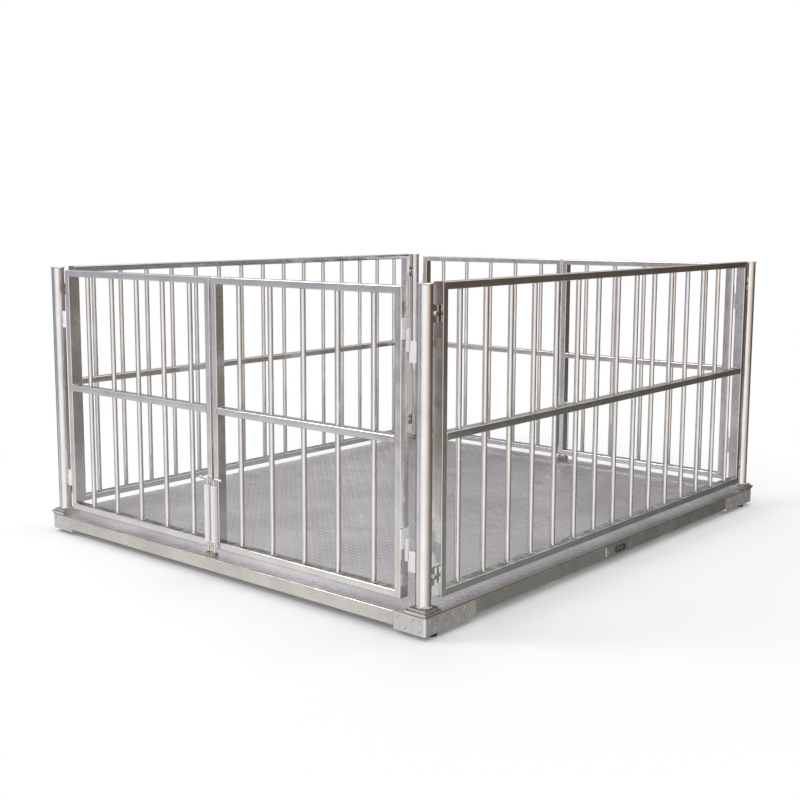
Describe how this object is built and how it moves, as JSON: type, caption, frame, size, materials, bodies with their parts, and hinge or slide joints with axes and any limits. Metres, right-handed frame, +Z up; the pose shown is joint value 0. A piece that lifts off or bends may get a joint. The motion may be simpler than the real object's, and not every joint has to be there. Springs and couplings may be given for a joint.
{
  "type": "livestock scale",
  "caption": "Low weighing platform on levelling feet with a railed pen: corner posts, fixed side panels, and double swing gates with drop bolts at both ends.",
  "frame": {"origin": "centre of the footprint, on the floor under the rubber feet", "axes": "+Z up; X runs along the gated sides, with the connector at +X; Y runs along the fixed side panels, with the front gates at -Y"},
  "size_m": [2.008, 2.41, 1.112],
  "materials": {
    "deck": "fine raised anti-slip pattern, dull from use",
    "platform_steel": "satin stainless, tread plate on the corner boxes",
    "port_plate": "satin stainless",
    "posts_and_frames": "polished stainless tube",
    "hinges_and_bolts": "bright stainless",
    "load_cells": "matt alloy steel",
    "feet_rubber": "matt black rubber",
    "connector_plastic": "dark moulded plastic"
  },
  "bodies": {
    "platform": {"deck_plate": "deck", "skirt_front": "platform_steel", "skirt_back": "platform_steel", "skirt_left": "platform_steel", "skirt_right": "platform_steel", "cross_beam_front": "platform_steel", "cross_beam_back": "platform_steel", "keeper_front": "hinges_and_bolts", "keeper_back": "hinges_and_bolts", "port_plate": "port_plate", "signal_port": "connector_plastic", "junction_box": "connector_plastic", "junction_box_lid": "connector_plastic", "side_panel_left": "posts_and_frames", "side_panel_right": "posts_and_frames", "corner_box_front_left": "platform_steel", "load_cell_front_left": "load_cells", "post_front_left": "posts_and_frames", "hinge_lower_front_left": "hinges_and_bolts", "hinge_upper_front_left": "hinges_and_bolts", "panel_bolt_lower_front_left": "hinges_and_bolts", "panel_bolt_upper_front_left": "hinges_and_bolts", "corner_box_front_right": "platform_steel", "load_cell_front_right": "load_cells", "post_front_right": "posts_and_frames", "hinge_lower_front_right": "hinges_and_bolts", "hinge_upper_front_right": "hinges_and_bolts", "panel_bolt_lower_front_right": "hinges_and_bolts", "panel_bolt_upper_front_right": "hinges_and_bolts", "corner_box_back_left": "platform_steel", "load_cell_back_left": "load_cells", "post_back_left": "posts_and_frames", "hinge_lower_back_left": "hinges_and_bolts", "hinge_upper_back_left": "hinges_and_bolts", "panel_bolt_lower_back_left": "hinges_and_bolts", "panel_bolt_upper_back_left": "hinges_and_bolts", "corner_box_back_right": "platform_steel", "load_cell_back_right": "load_cells", "post_back_right": "posts_and_frames", "hinge_lower_back_right": "hinges_and_bolts", "hinge_upper_back_right": "hinges_and_bolts", "panel_bolt_lower_back_right": "hinges_and_bolts", "panel_bolt_upper_back_right": "hinges_and_bolts"},
    "gate_front_left": {"gate_front_left": "posts_and_frames"},
    "drop_rod_front_left": {"drop_rod_front_left": "hinges_and_bolts"},
    "foot_front_left": {"foot_stud_front_left": "hinges_and_bolts", "foot_pad_front_left": "feet_rubber"},
    "gate_front_right": {"gate_front_right": "posts_and_frames"},
    "drop_rod_front_right": {"drop_rod_front_right": "hinges_and_bolts"},
    "foot_front_right": {"foot_stud_front_right": "hinges_and_bolts", "foot_pad_front_right": "feet_rubber"},
    "gate_back_left": {"gate_back_left": "posts_and_frames"},
    "drop_rod_back_left": {"drop_rod_back_left": "hinges_and_bolts"},
    "foot_back_left": {"foot_stud_back_left": "hinges_and_bolts", "foot_pad_back_left": "feet_rubber"},
    "gate_back_right": {"gate_back_right": "posts_and_frames"},
    "drop_rod_back_right": {"drop_rod_back_right": "hinges_and_bolts"},
    "foot_back_right": {"foot_stud_back_right": "hinges_and_bolts", "foot_pad_back_right": "feet_rubber"}
  },
  "joints": [
    {"name": "gate_front_left_hinge", "type": "hinge", "parent": "platform", "child": "gate_front_left", "pos_m": [-0.8966, -1.162, 0.575], "axis": [0, 0, -1], "range_deg": [0, 110]},
    {"name": "drop_rod_front_left_slide", "type": "slide", "parent": "gate_front_left", "child": "drop_rod_front_left", "axis": [0, 0, 1], "range_m": [-0.0145, 0.06]},
    {"name": "foot_front_left_turn", "type": "hinge", "parent": "platform", "child": "foot_front_left", "pos_m": [-0.972, -1.132, 0.03], "axis": [0, 0, 1], "continuous": true},
    {"name": "gate_front_right_hinge", "type": "hinge", "parent": "platform", "child": "gate_front_right", "pos_m": [0.8966, -1.162, 0.575], "axis": [0, 0, 1], "range_deg": [0, 110]},
    {"name": "drop_rod_front_right_slide", "type": "slide", "parent": "gate_front_right", "child": "drop_rod_front_right", "axis": [0, 0, 1], "range_m": [-0.0145, 0.06]},
    {"name": "foot_front_right_turn", "type": "hinge", "parent": "platform", "child": "foot_front_right", "pos_m": [0.972, -1.132, 0.03], "axis": [0, 0, 1], "continuous": true},
    {"name": "gate_back_left_hinge", "type": "hinge", "parent": "platform", "child": "gate_back_left", "pos_m": [-0.8966, 1.162, 0.575], "axis": [0, 0, 1], "range_deg": [0, 110]},
    {"name": "drop_rod_back_left_slide", "type": "slide", "parent": "gate_back_left", "child": "drop_rod_back_left", "axis": [0, 0, 1], "range_m": [-0.0145, 0.06]},
    {"name": "foot_back_left_turn", "type": "hinge", "parent": "platform", "child": "foot_back_left", "pos_m": [-0.972, 1.132, 0.03], "axis": [0, 0, 1], "continuous": true},
    {"name": "gate_back_right_hinge", "type": "hinge", "parent": "platform", "child": "gate_back_right", "pos_m": [0.8966, 1.162, 0.575], "axis": [0, 0, -1], "range_deg": [0, 110]},
    {"name": "drop_rod_back_right_slide", "type": "slide", "parent": "gate_back_right", "child": "drop_rod_back_right", "axis": [0, 0, 1], "range_m": [-0.0145, 0.06]},
    {"name": "foot_back_right_turn", "type": "hinge", "parent": "platform", "child": "foot_back_right", "pos_m": [0.972, 1.132, 0.03], "axis": [0, 0, 1], "continuous": true}
  ]
}
